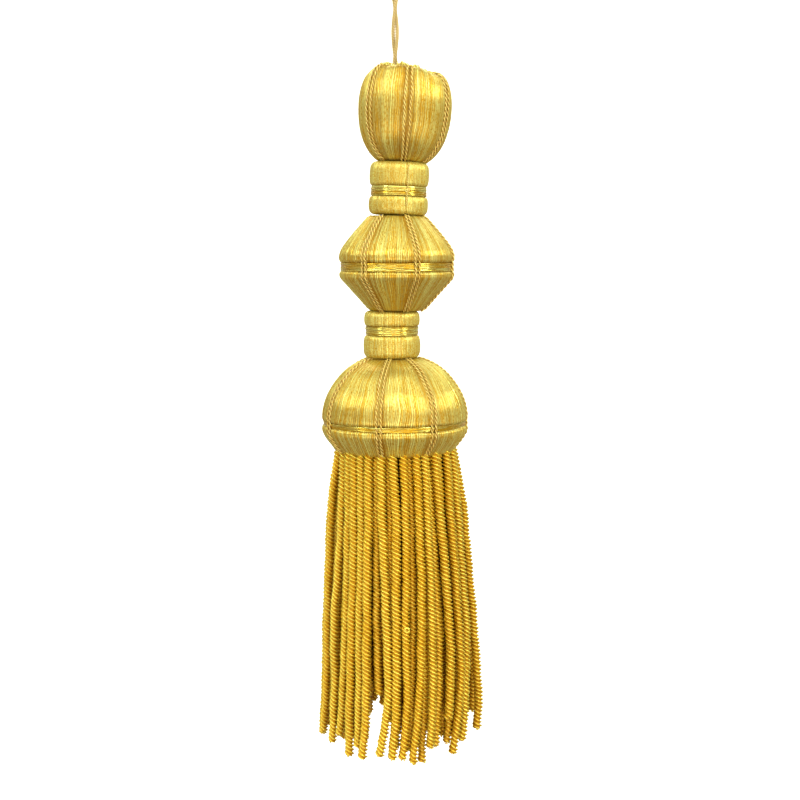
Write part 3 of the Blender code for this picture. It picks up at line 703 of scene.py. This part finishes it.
def strand_lines():
    """Centre lines of every strand at the levels, moved apart in rounds: wherever two lie closer than a
    solid strand's width and clearance, both are pushed off by their share of what is lacking. The
    ridges and waves that the strands get later can still press into those of their neighbours."""
    table = strand_table()
    row, azimuth, tip, shift = table[:, 0], np.radians(table[:, 1:6]), table[:, 6], table[:, 7]
    levels = np.array(STRAND_LEVELS)
    axis, radius = skirt_axis(levels)
    reach = radius[None, :] * (1.0 - ROW_SHARE * row[:, None])
    reach = reach + shift[:, None] * np.linspace(0.3, 1.0, len(levels))[None, :]
    flat = np.stack([axis[None, :] + reach * np.sin(azimuth), -reach * np.cos(azimuth)], axis=2)
    fine = np.linspace(0.0, len(levels) - 1.0, 4 * (len(levels) - 1) + 1)
    share = np.maximum(0.0, 1.0 - np.abs(fine[:, None] - np.arange(len(levels))[None, :]))
    give = np.where(row == 0, 0.3, 1.0)
    inner = row >= STRAIGHT_FROM_ROW
    straight = (
        (levels[1] - levels[0]) / (levels[2] - levels[0]),
        (levels[3] - levels[2]) / (levels[4] - levels[2]),
    )
    wanted = STRAND_D + STRAND_CLEARANCE
    for _ in range(APART_ROUNDS):
        spots = np.einsum("fl,nlc->nfc", share, flat)
        apart = spots[:, None] - spots[None]
        distance = np.linalg.norm(apart, axis=3) + np.eye(len(row))[:, :, None] * 99.0
        lack = np.clip(wanted * 1.01 - distance, 0.0, None)
        if lack.max() < 0.01 * wanted:
            break
        weight = give[:, None] / (give[:, None] + give[None])
        push = (apart / distance[..., None] * (lack * weight[:, :, None])[..., None]).sum(axis=1)
        flat = flat + np.einsum("fl,nfc->nlc", share, push) / share.sum(axis=0)[None, :, None] * 1.6
        from_axis = flat[:, 0] - [axis[0], 0.0]
        out = np.linalg.norm(from_axis, axis=1)[:, None]
        flat[:, 0] = [axis[0], 0.0] + from_axis / out * np.minimum(out, radius[0])
        flat[inner, 1] = flat[inner, 0] + (flat[inner, 2] - flat[inner, 0]) * straight[0]
        flat[inner, 3] = flat[inner, 2] + (flat[inner, 4] - flat[inner, 2]) * straight[1]
    in_gap = (row > 0) & (flat[:, 4, 1] < HEM_GAP_BACK_Y) & (np.abs(flat[:, 4, 0] - HEM_GAP_X) < HEM_GAP_HALF)
    tip = np.where(in_gap, np.maximum(tip, HEM_GAP_TOP_Z), tip)
    return row, flat, levels, tip


def at_height(flat, levels, height):
    """Where a strand's line crosses a height, between its levels in proportion."""
    return np.array([np.interp(-height, -levels, flat[:, k]) for k in range(2)])


def strand_route(flat, levels, tip):
    """A strand's line from inside the dome's lip, out under it and down to its tip."""
    axis = SKIRT_SHAPE[0][1]
    out = flat[0] - [axis, 0.0]
    reach = max(np.linalg.norm(out), 1.0)
    tucked = [axis, 0.0] + out / reach * min(reach, TUCKED_RADIUS)
    kept = levels > tip + 3.0
    spots = np.vstack([tucked, tucked * 0.35 + flat[0] * 0.65, flat[kept], at_height(flat, levels, tip)])
    spots[2] = flat[0] * 0.96 + flat[1] * 0.04
    heights = np.concatenate([TUCKED_Z, levels[kept], [tip]])
    heights[2] = levels[0] - 1.5
    return np.column_stack([spots, heights])


def strand_sheet(route, sections, around, chance, depth):
    """One bullion cord along a route, with small waves, a swelling tip and a cut end. Its surface is raised
    and lowered a little at random, as by loose filaments. Painted shade makes its colour darker where it
    faces its neighbours or the skirt's middle than where it faces outwards."""
    step = TWISTS["bullion"][5] / sections
    centres = smooth_curve(route, step)
    reach = reach_along(centres)
    free = np.clip(reach / 30.0, 0.0, 1.0)
    for axis in range(2):
        centres[:, axis] += waver(reach, (46.0, 21.0), 0.30, chance) * free
        centres[:, axis] += waver(reach, (9.0, 5.5), 0.10, chance) * free
    left = reach[-1] - reach
    swell = 1.0 + 0.12 * np.exp(-((left / 1.8) ** 2)) + waver(reach, (13.0, 29.0), 0.03, chance)
    swell = swell * np.sqrt(np.clip(1.0 - (1.0 - np.clip(left / 0.8, 0.0, 1.0)) ** 2 * 0.6, 0.2, 1.0))
    # Inner rows also get a lower tone, a painted shade that makes them duller
    sheet = twisted_cord(
        centres, (0.0, -1.0, 0.0), "bullion", around, chance,
        size=chance.uniform(1.02, 1.14), tone=chance.uniform(0.3, 1.0) * (1.0 - depth), swell=swell,
    )
    spoke = sheet.points - centres[:, None, :]
    loose = 1.0 + sizes().filaments * chance.standard_normal((*spoke.shape[:2], 1))
    sheet.points = centres[:, None, :] + spoke * loose
    # Painted shade on the sides of the strand that face away from the outside
    away = unit((centres - [SKIRT_SHAPE[0][1], 0.0, 0.0]) * [1.0, 1.0, 0.0])
    facing = (unit(spoke) * away[:, None, :]).sum(axis=2)
    sheet.depth = np.clip(depth + sizes().side_painted_shade * (0.7 - facing) / 1.7, 0.0, 1.0)
    return sheet


def curled_thread(centre, radius, turns, chance):
    """A thin thread in an upright spiral that faces the front: its radius grows from two thirds to the
    whole over its turns while it sinks back by a quarter of a millimetre."""
    angle = np.linspace(0.0, FULL_TURN * turns, round(14 * turns))
    share = angle / angle[-1]
    reach = radius * (0.66 + 0.34 * share)
    spiral = np.column_stack([reach * np.cos(angle), 0.25 * share, reach * np.sin(angle)])
    return plain_tube(centre + spiral, 0.24, 6, chance)


def tip_curls(route, count, chance):
    """The cut end of a strand: thin threads that stand out of it, some straight and tapering, the others
    curled over in half a loop."""
    end = route[-1]
    down = unit(route[-1] - route[-2])
    made = []
    for number in range(count):
        turn = chance.uniform(0.0, FULL_TURN)
        side = np.array([math.cos(turn), math.sin(turn), 0.0])
        if number % 3 == 0:
            share = np.linspace(0.0, 1.0, 5)[:, None]
            length, spread = chance.uniform(0.6, 1.6), chance.uniform(0.1, 0.6)
            start = end - down * 1.0 + side * chance.uniform(0.3, 1.3)
            centres = start + down * length * share + side * spread * length * share**1.6
            made.append(plain_tube(centres, 0.16, 4, chance, taper=0.7))
        else:
            share = np.linspace(0.0, 1.0, 7)[:, None]
            length, width = chance.uniform(0.5, 1.2), chance.uniform(0.7, 1.5)
            across = np.cross(down, side)
            start = end - down * 0.4 + side * chance.uniform(0.4, 1.2) - across * width / 2
            centres = start + down * length * np.sin(share * math.pi) + across * width * share
            made.append(plain_tube(centres, 0.19, 4, chance))
    return made


class Socket:
    """A number in a material's nodes that is added, subtracted, multiplied and raised like any other."""

    def __init__(self, finish, socket):
        self.finish = finish
        self.socket = socket

    def sum_of(self, operation, first, second):
        """The result of one Math node."""
        return self.finish.node("ShaderNodeMath", {"operation": operation}, (first, second))

    def __add__(self, other):
        return self.sum_of("ADD", self, other)

    def __radd__(self, other):
        return self.sum_of("ADD", other, self)

    def __sub__(self, other):
        return self.sum_of("SUBTRACT", self, other)

    def __rsub__(self, other):
        return self.sum_of("SUBTRACT", other, self)

    def __mul__(self, other):
        return self.sum_of("MULTIPLY", self, other)

    def __rmul__(self, other):
        return self.sum_of("MULTIPLY", other, self)

    def __pow__(self, other):
        return self.sum_of("POWER", self, other)

    def __rpow__(self, other):
        return self.sum_of("POWER", other, self)

    def held(self, low=0.0, high=1.0):
        """The number kept between two limits."""
        return self.finish.node("ShaderNodeClamp", {}, (self, low, high))


class Finish:
    """A material under construction."""

    def __init__(self, name):
        self.material = bpy.data.materials.new(name)
        self.material.use_nodes = True
        self.tree = self.material.node_tree
        self.shader = self.tree.nodes["Principled BSDF"]

    def node(self, kind, choices, inputs, output=0):
        """A node of a kind: its choices are made first, then its inputs, by position or by name."""
        made = self.tree.nodes.new(kind)
        for name, value in choices.items():
            setattr(made, name, value)
        pairs = inputs.items() if isinstance(inputs, dict) else enumerate(inputs)
        for place, value in pairs:
            if value is not None:
                self.feed(made.inputs[place], value)
        return Socket(self, made.outputs[output])

    def feed(self, place, value):
        """A link, a colour or a number into an input."""
        if isinstance(value, Socket):
            self.tree.links.new(value.socket, place)
        elif isinstance(value, tuple) and place.type == "RGBA":
            place.default_value = (*value[:3], 1.0)
        else:
            place.default_value = value

    def value(self, name):
        """A value stored at each point of the piece."""
        return self.node("ShaderNodeAttribute", {"attribute_name": name}, (), "Fac")

    def mixed(self, share, first, second):
        """One colour run into another by a share."""
        return self.node("ShaderNodeMix", {"data_type": "RGBA"}, {0: share, 6: first, 7: second}, 2)

    def weave_place(self, across, along):
        """The piece's own thread coordinates, stretched."""
        spot = self.node("ShaderNodeUVMap", {"uv_map": "thread"}, ())
        return self.node("ShaderNodeVectorMath", {"operation": "MULTIPLY"}, (spot, (across, along, 1.0)))

    def noise(self, place, scale, detail):
        """Soft noise at a place."""
        return self.node("ShaderNodeTexNoise", {}, {"Vector": place, "Scale": scale, "Detail": detail})

    def constant(self, **values):
        """Fixed values on the shader."""
        for name, value in values.items():
            self.feed(self.shader.inputs[name.replace("_", " ").title().replace("Ior", "IOR")], value)

    def varying(self, name, value):
        """A varying value into one of the shader's inputs."""
        self.feed(self.shader.inputs[name], value)


def silk(name):
    """A glossy twisted or wound silk-like thread, from its row in the table of finishes.

    Its three colours are a painted shade deep between the threads, a dull thread and a bright one.
    The thread coordinates are stretched across and along into long light streaks and small flecks of
    painted glint. Contrast narrows the painted lit crest of each thread.
    """
    if name in bpy.data.materials:
        return bpy.data.materials[name]
    shades, streaks, flecks, tints, contrast, rough, metal, shine, turned = FINISHES[name]
    # deep is the painted shade colour, set between the threads and plies
    deep, dull, bright = (tuple(getattr(bpy.context.scene.tassel_colours, shade)) for shade in shades)
    finish = Finish(name)
    # The third value is painted shade: beside the gimp cords on the moulds, on inner strands and their inward
    # sides in the skirt
    relief, tone, press_and_painted_shade = finish.value("relief"), finish.value("tone"), finish.value("depth")
    streak = finish.noise(finish.weave_place(*streaks), 1.0, 2.0) - 0.5
    # Fine flecks of painted glints in the colour; the same noise also roughens and bumps the thread
    painted_glint_and_bump = finish.noise(finish.weave_place(*flecks), 1.0, 3.0) - 0.5
    cloud = finish.noise(finish.weave_place(0.12, 0.05), 1.0, 2.0) - 0.5
    share = ((tone - 0.5) * tints[0] + streak * tints[1] + painted_glint_and_bump * tints[2] + cloud * tints[3] + 0.5).held()
    body = finish.mixed(share, dull, bright)
    # Share of the lit colour over the painted shade colour: painted shade in the valleys, beside the gimp
    # cords, on inner strands and on their inward sides
    painted_lit_share = (relief ** contrast * 0.95 + 0.1 - press_and_painted_shade * 0.3).held()
    finish.varying("Base Color", finish.mixed(painted_lit_share, deep, body))
    crest, valley = rough
    finish.varying("Roughness", (valley - (valley - crest) * painted_lit_share + painted_glint_and_bump * 0.3).held(0.08, 1.0))
    finish.constant(metallic=metal, anisotropic=shine, anisotropic_rotation=turned, specular_ior_level=0.45)
    height = finish.node(
        "ShaderNodeBump", {}, {"Strength": 0.5, "Distance": 0.12 * MM, "Height": streak + painted_glint_and_bump}, "Normal"
    )
    finish.varying("Normal", height)
    return finish.material


def plain(name, shade, roughness, glow):
    """A plain matt finish for the floor and backdrop, with a slight cloud in its shade and an even glow."""
    finish = Finish(name)
    spot = finish.node("ShaderNodeTexCoord", {}, (), "Object")
    cloud = finish.noise(spot, 2.0, 1.0)
    finish.varying("Base Color", finish.mixed(cloud, shade, tuple(c * 0.99 for c in shade)))
    finish.constant(roughness=roughness, emission_color=shade, emission_strength=glow)
    return finish.material


def seeded(name, place=0):
    """Random draws for a piece, the same at each run."""
    return np.random.default_rng(SEEDS[name] + place)


def colour(name, description, default):
    """A colour that the user can change."""
    return bpy.props.FloatVectorProperty(
        name=name, description=description, subtype="COLOR", size=3, default=default
    )


def number(name, description, default, **more):
    """A number that the user can change."""
    return bpy.props.FloatProperty(name=name, description=description, default=default, **more)


class TasselSizes(bpy.types.PropertyGroup):
    """Sizes of the threads and cords."""

    gimp_lift: number(
        "Gimp's lift", "Height of the gimp cords' middle over the threads", 0.12 * MM, unit="LENGTH"
    )
    rim_fall: number(
        "Rim's fall", "How much lower the ball's rim is at the right than at the left", 1.5 * MM,
        unit="LENGTH",
    )
    filaments: number(
        "Filaments", "How far loose filaments raise or lower a strand's surface, as a share of its radius",
        0.035, subtype="FACTOR",
    )
    # Painted shade on a strand's inner side
    side_painted_shade: number(
        "Side depth", "How much deeper in colour a strand is on its inner side than on its outer side", 1.0,
        subtype="FACTOR",
    )


class TasselColours(bpy.types.PropertyGroup):
    """Colours of the threads and cords."""

    # Painted shade between the wound threads and between the plies of the gimp cords and the tie
    wound_deep: colour("Wound thread, deep", "Between the wound threads", (0.28, 0.115, 0.002))
    wound_dull: colour("Wound thread, dull", "A dull wound thread", (0.62, 0.38, 0.018))
    wound_bright: colour("Wound thread, bright", "A bright wound thread", (0.80, 0.82, 0.26))
    gimp_bright: colour("Gimp cord", "The laid gimp cords", (0.95, 0.89, 0.36))
    # Painted shade between the plies of the hanging cord
    loop_painted_shade: colour("Hanging cord, deep", "Between the plies of the hanging cord", (0.234, 0.1525, 0.042))
    loop_dull: colour("Hanging cord, dull", "The dull part of the hanging cord", (0.5616, 0.4148, 0.168))
    loop_bright: colour("Hanging cord, bright", "The bright part of the hanging cord", (0.78, 0.61, 0.28))
    # Painted shade between the plies of the bullion and on its inner strands
    bullion_painted_shade: colour("Bullion, deep", "Between the plies of the bullion", (0.52, 0.25, 0.0))
    bullion_dull: colour("Bullion, dull", "A dull strand of the bullion", (0.78, 0.48, 0.006))
    bullion_bright: colour("Bullion, bright", "The bright part of the bullion", (0.93, 0.85, 0.13))


class TasselStage(bpy.types.PropertyGroup):
    """The floor, the lights and the camera."""

    lens: number("Lens", "Length of the camera's lens in millimetres", 63.0, min=10.0)
    distance: number("Distance", "From the camera to the tassel's axis", 0.60, unit="LENGTH")
    height: number("Camera height", "Height of the camera from the loop's inner top", -0.126, unit="LENGTH")
    tilt: number("Camera tilt", "How far the camera looks down", math.atan(150 / 1400), subtype="ANGLE")
    floor: number("Floor", "Height of the floor", -0.40, unit="LENGTH")
    key: number("Key light", "Strength of the key lights", 1.25)
    side: number("Side lights", "Strength of the side and back lights", 3.5)
    fill: number("Front light", "Strength of the front light", 4.4)
    low: number("Low light", "Strength of the light from below", 1.7)
    overhead: number("Top light", "Strength of the lights above", 1.5)
    surround: number("Surround", "Brightness of the room", 0.54)
    cool: colour("Light's colour", "Colour of the key, side and top lights", (0.94, 1.0, 0.82))
    warm: colour("Fill's colour", "Colour of the front and low lights and of the room", (1.0, 0.88, 0.68))


def sizes():
    """The sizes as the user has set them."""
    return bpy.context.scene.tassel_sizes


class TASSEL_OT_stage(bpy.types.Operator):
    """Set up the pale floor, the soft lights and the camera"""

    bl_idname = "tassel.stage"
    bl_label = "Stage"

    def execute(self, context):
        stage = context.scene.tassel_stage
        eye = bpy.data.objects.new("camera", bpy.data.cameras.new("camera"))
        context.scene.collection.objects.link(eye)
        eye.location = (CAMERA_X * MM, -stage.distance, stage.height)
        eye.rotation_euler = (math.pi / 2 - stage.tilt, 0.0, 0.0)
        eye.data.lens = stage.lens
        eye.data.sensor_width = 36.0
        context.scene.camera = eye
        half, front, foot, bend, wall, top = SWEEP
        turn = np.linspace(0.0, math.pi / 2, 13)[1:]
        line = [(front, stage.floor), (foot, stage.floor)]
        line += [(foot + bend * math.sin(a), stage.floor + bend * (1 - math.cos(a))) for a in turn]
        line += [(wall, top)]
        spots = [(x, y, z) for y, z in line for x in (-half, half)]
        faces = [(2 * i, 2 * i + 1, 2 * i + 3, 2 * i + 2) for i in range(len(line) - 1)]
        mesh = bpy.data.meshes.new("sweep")
        mesh.from_pydata(spots, [], faces)
        mesh.shade_smooth()
        mesh.materials.append(plain("pale_paper", (0.90, 0.90, 0.90), roughness=0.9, glow=0.55))
        sweep = bpy.data.objects.new("sweep", mesh)
        sweep.visible_diffuse = False
        sweep.visible_glossy = False
        context.scene.collection.objects.link(sweep)
        for name, place, aim, width, height, strength, share, shade in LAMPS:
            data = bpy.data.lights.new(name, "AREA")
            data.color = tuple(getattr(stage, shade))
            data.shape = "RECTANGLE"
            data.size, data.size_y = width, height
            data.energy = getattr(stage, strength) * share
            lamp = bpy.data.objects.new(name, data)
            x, y, z = np.array(place) - [0.0, 0.0, aim]
            lamp.location = place
            lamp.rotation_euler = (math.atan2(math.hypot(x, y), z), 0.0, math.atan2(x, -y))
            context.scene.collection.objects.link(lamp)
        world = bpy.data.worlds.new("room")
        world.use_nodes = True
        back = world.node_tree.nodes["Background"]
        back.inputs["Color"].default_value = (*stage.warm, 1.0)
        back.inputs["Strength"].default_value = stage.surround
        context.scene.world = world
        context.scene.view_settings.view_transform = "Standard"
        return {"FINISHED"}


class TASSEL_OT_hanging_cord(bpy.types.Operator):
    """Twist the folded cord that the tassel hangs by"""

    bl_idname = "tassel.hanging_cord"
    bl_label = "Hanging cord"

    def execute(self, context):
        chance = seeded("hanging_cord")
        centres = smooth_curve(loop_route(), TWISTS["loop"][5] / 10)
        cord = twisted_cord(centres, (0.05, -1.0, 0.1), "loop", 12, chance)
        made = piece(
            "hanging_cord_twisted", [cord], silk("hanging_cord_silk"), ["hanging_cord"]
        )
        return {"FINISHED"}


class TASSEL_OT_moulds(bpy.types.Operator):
    """Cover the five moulds with lengthwise thread"""

    bl_idname = "tassel.moulds"
    bl_label = "Wound moulds"

    def execute(self, context):
        for place, seat in enumerate(OUTLINES):
            finish = silk("neck_thread_silk" if seat.startswith("neck") else "wound_thread_silk")
            wound_mould(seat, finish, seeded("moulds", place))
        loops = rim_loops(seeded("rim"))
        piece("ball_rim_threads", loops, silk("wound_thread_silk"), ["ball"])
        return {"FINISHED"}


class TASSEL_OT_bands(bpy.types.Operator):
    """Wind thread into the grooves"""

    bl_idname = "tassel.bands"
    bl_label = "Thread bands"

    def execute(self, context):
        for place, name in enumerate(BANDS):
            wound_band(name, silk("band_thread_silk"), seeded("bands", place))
        chance = seeded("tie")
        centres, out = laid_line(
            "neck_upper", TIE_LINE, TIE_AZIMUTH, side_share=(0.0, 1.0), side_offset=(0.2, -0.3), lift=0.15,
            chance=chance, step=0.25,
        )
        height, radius, turns = TIE_KNOT
        middle = np.abs(centres[:, 2] - height).argmin()
        place = centres[middle] + out[middle] * 0.3
        knot = [
            curled_thread(place + [side, 0.0, 0.25 * side], radius, turns, chance) for side in (-0.35, 0.4)
        ]
        tie = [twisted_cord(centres, out, "tie", 8, chance), *knot]
        piece("neck_upper_tie_twisted", tie, silk("gimp_cord_silk"), ["neck_upper_tie"])
        return {"FINISHED"}


class TASSEL_OT_gimps(bpy.types.Operator):
    """Lay the gimp cords in pairs over the moulds"""

    bl_idname = "tassel.gimps"
    bl_label = "Gimp cords"

    def execute(self, context):
        chance = seeded("gimps")
        for seat, (prefix, spacing, azimuths) in GIMP_PAIRS.items():
            sheets, nodes = [], []
            for place, azimuth in enumerate(azimuths, 1):
                sheets += gimp_sheets(seat, azimuth, spacing, chance)
                nodes.append(f"{prefix}_{place}")
            piece(f"{prefix}_cords", sheets, silk("gimp_cord_silk"), nodes)
        return {"FINISHED"}


class TASSEL_OT_skirt(bpy.types.Operator):
    """Hang the twisted strands of the bullion skirt"""

    bl_idname = "tassel.skirt"
    bl_label = "Bullion skirt"

    def execute(self, context):
        chance = seeded("skirt")
        rows, lines, levels, tips = strand_lines()
        groups = {name: [] for name in STRAND_DETAIL}
        for row, flat, tip in zip(rows, lines, tips):
            if row == 0:
                name = "skirt_front" if flat[2][1] < 0.0 else "skirt_back"
            else:
                name = "skirt_second_row" if row == 1 else "skirt_inner_rows"
            sections, around = THIRD_ROW_DETAIL if row == 2 else STRAND_DETAIL[name]
            route = strand_route(flat, levels, tip)
            # Inner rows get more painted shade
            groups[name].append(strand_sheet(route, sections, around, chance, min(0.9, 0.3 * row)))
            if row < HIDDEN_FROM_ROW:
                groups[name] += tip_curls(route, TIP_THREADS, chance)
        x, height, radius, turns, off = STRAY_CURL
        spots = np.array([at_height(flat, levels, height) for flat in lines])
        front = spots[np.abs(spots[:, 0] - x) < 1.8][:, 1].min()
        groups["skirt_front"].append(curled_thread(np.array([x, front - off, height]), radius, turns, chance))
        for name, sheets in groups.items():
            piece(name, sheets, silk("bullion_silk"), ["skirt"])
        return {"FINISHED"}


class TASSEL_PT_panel(bpy.types.Panel):
    """Lists the steps of the tassel"""

    bl_idname = "TASSEL_PT_panel"
    bl_label = "Curtain tassel"
    bl_space_type = "VIEW_3D"
    bl_region_type = "UI"
    bl_category = "Tassel"

    def draw(self, context):
        scene = context.scene
        for group in (scene.tassel_sizes, scene.tassel_colours, scene.tassel_stage):
            for name in group.bl_rna.properties.keys():
                if name not in ("rna_type", "name"):
                    self.layout.prop(group, name)
        for step in STEPS:
            self.layout.operator(step.bl_idname)


STEPS = (
    TASSEL_OT_stage,
    TASSEL_OT_hanging_cord,
    TASSEL_OT_moulds,
    TASSEL_OT_bands,
    TASSEL_OT_gimps,
    TASSEL_OT_skirt,
)
CLASSES = (TasselSizes, TasselColours, TasselStage, *STEPS, TASSEL_PT_panel)


def register():
    """Make the classes and the scene's settings known to Blender."""
    for one in CLASSES:
        bpy.utils.register_class(one)
    bpy.types.Scene.tassel_sizes = bpy.props.PointerProperty(type=TasselSizes)
    bpy.types.Scene.tassel_colours = bpy.props.PointerProperty(type=TasselColours)
    bpy.types.Scene.tassel_stage = bpy.props.PointerProperty(type=TasselStage)


def unregister():
    """Take them away again."""
    del bpy.types.Scene.tassel_stage
    del bpy.types.Scene.tassel_colours
    del bpy.types.Scene.tassel_sizes
    for one in reversed(CLASSES):
        bpy.utils.unregister_class(one)


def main():
    """Build every piece."""
    register()
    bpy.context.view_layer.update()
    bpy.ops.tassel.stage()
    bpy.ops.tassel.hanging_cord()
    bpy.ops.tassel.moulds()
    bpy.ops.tassel.bands()
    bpy.ops.tassel.gimps()
    bpy.ops.tassel.skirt()


if __name__ == "__main__":
    main()
